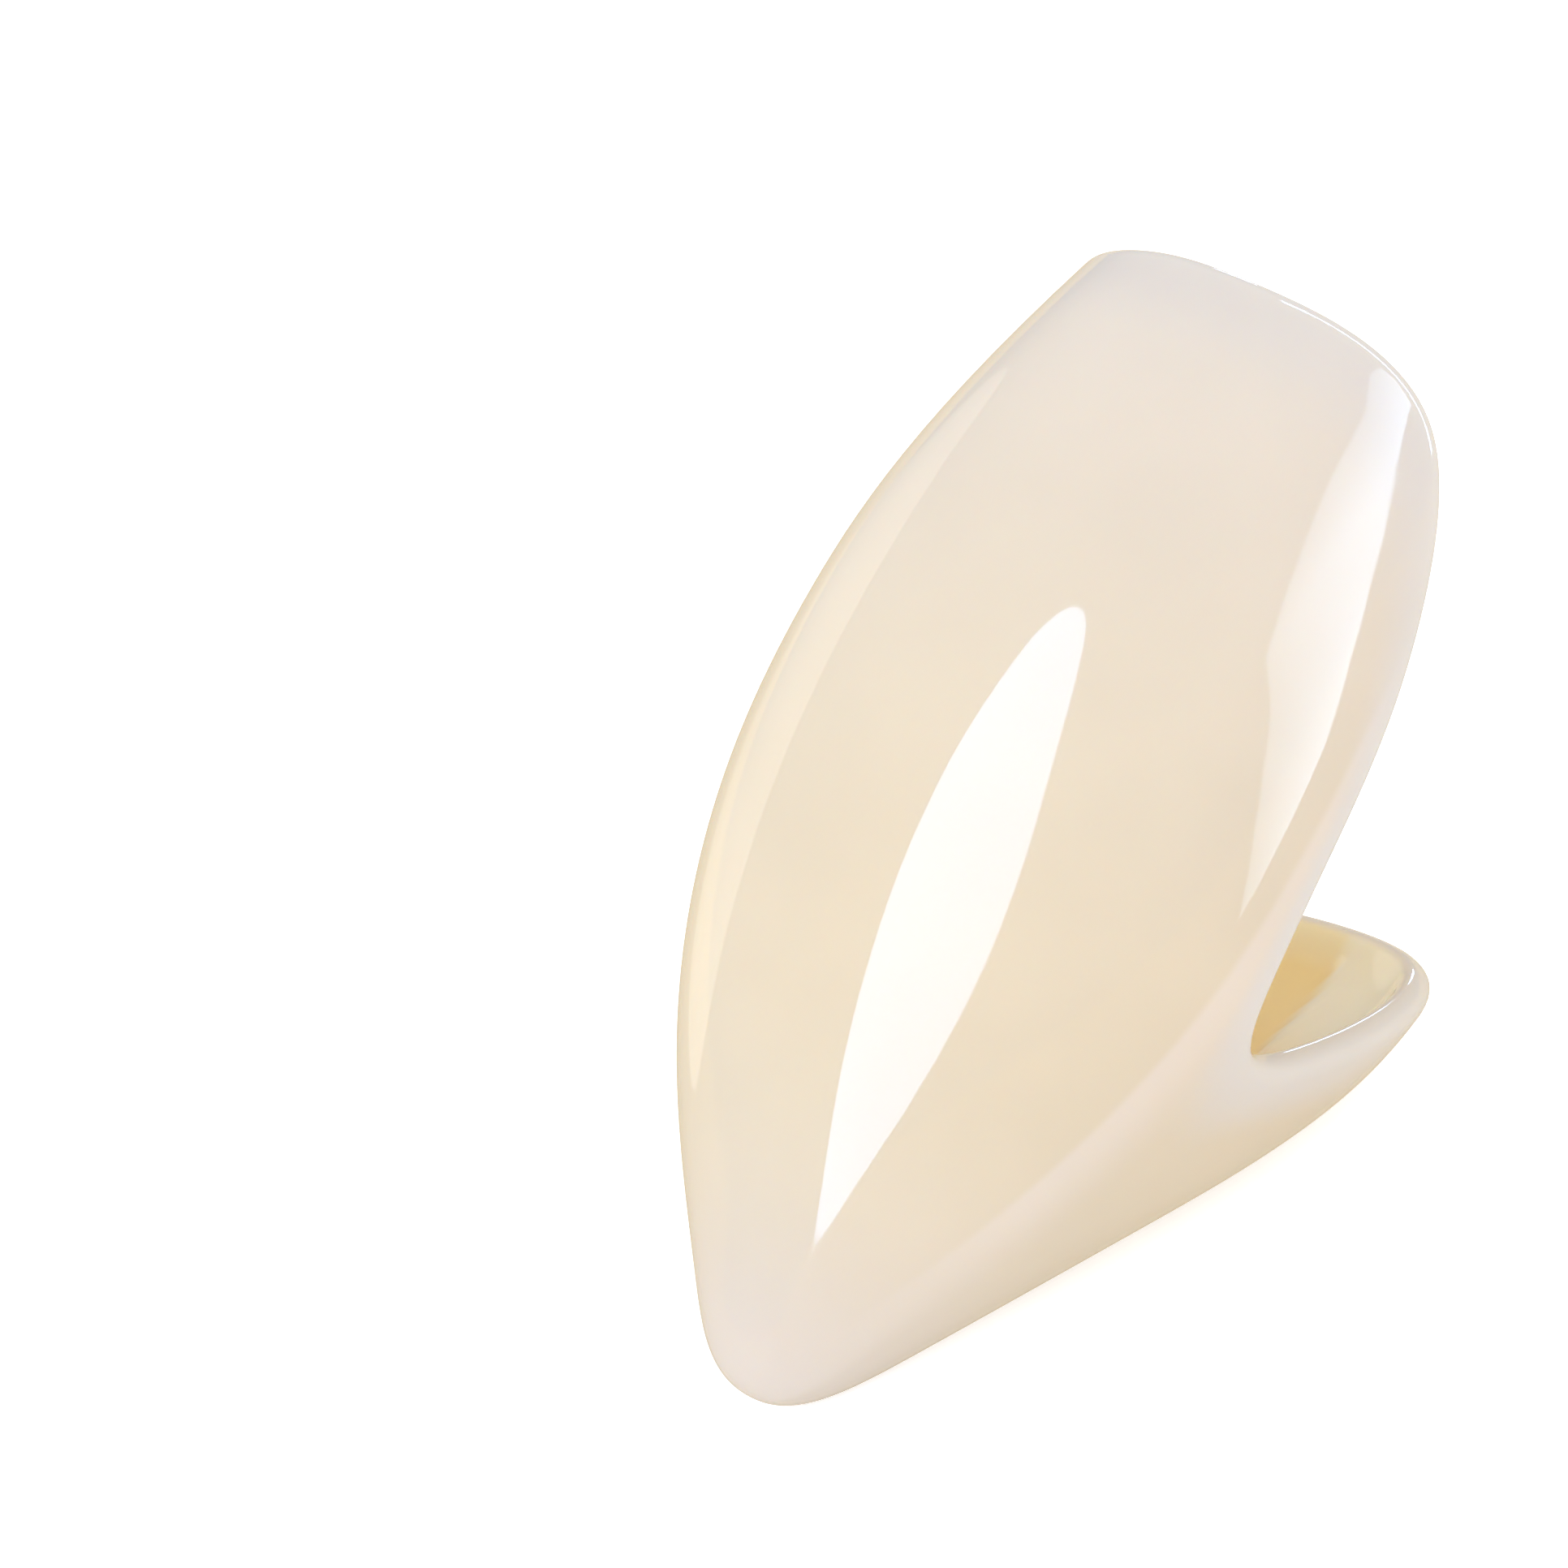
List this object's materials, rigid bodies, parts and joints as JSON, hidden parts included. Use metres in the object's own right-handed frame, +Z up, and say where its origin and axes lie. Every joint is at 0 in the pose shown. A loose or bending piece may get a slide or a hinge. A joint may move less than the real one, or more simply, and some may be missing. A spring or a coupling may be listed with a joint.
{
  "type": "slip-on vampire fang tooth cap",
  "caption": "Hollow pointed tooth cap with a rounded gum edge in front, side gaps and a low lip behind; slips over a canine as a costume fang.",
  "frame": {"origin": "on the ground under the middle of the cap's box, with the cap lying on its back", "axes": "+X across the tooth, +Y from the tip towards the open gum end, +Z up, away from the ground"},
  "size_m": [0.0096, 0.0138, 0.0122],
  "materials": {
    "tooth_acrylic": "moulded, polished, slightly translucent ivory dental acrylic"
  },
  "bodies": {
    "root": {"fang_cap": "tooth_acrylic"}
  },
  "joints": []
}
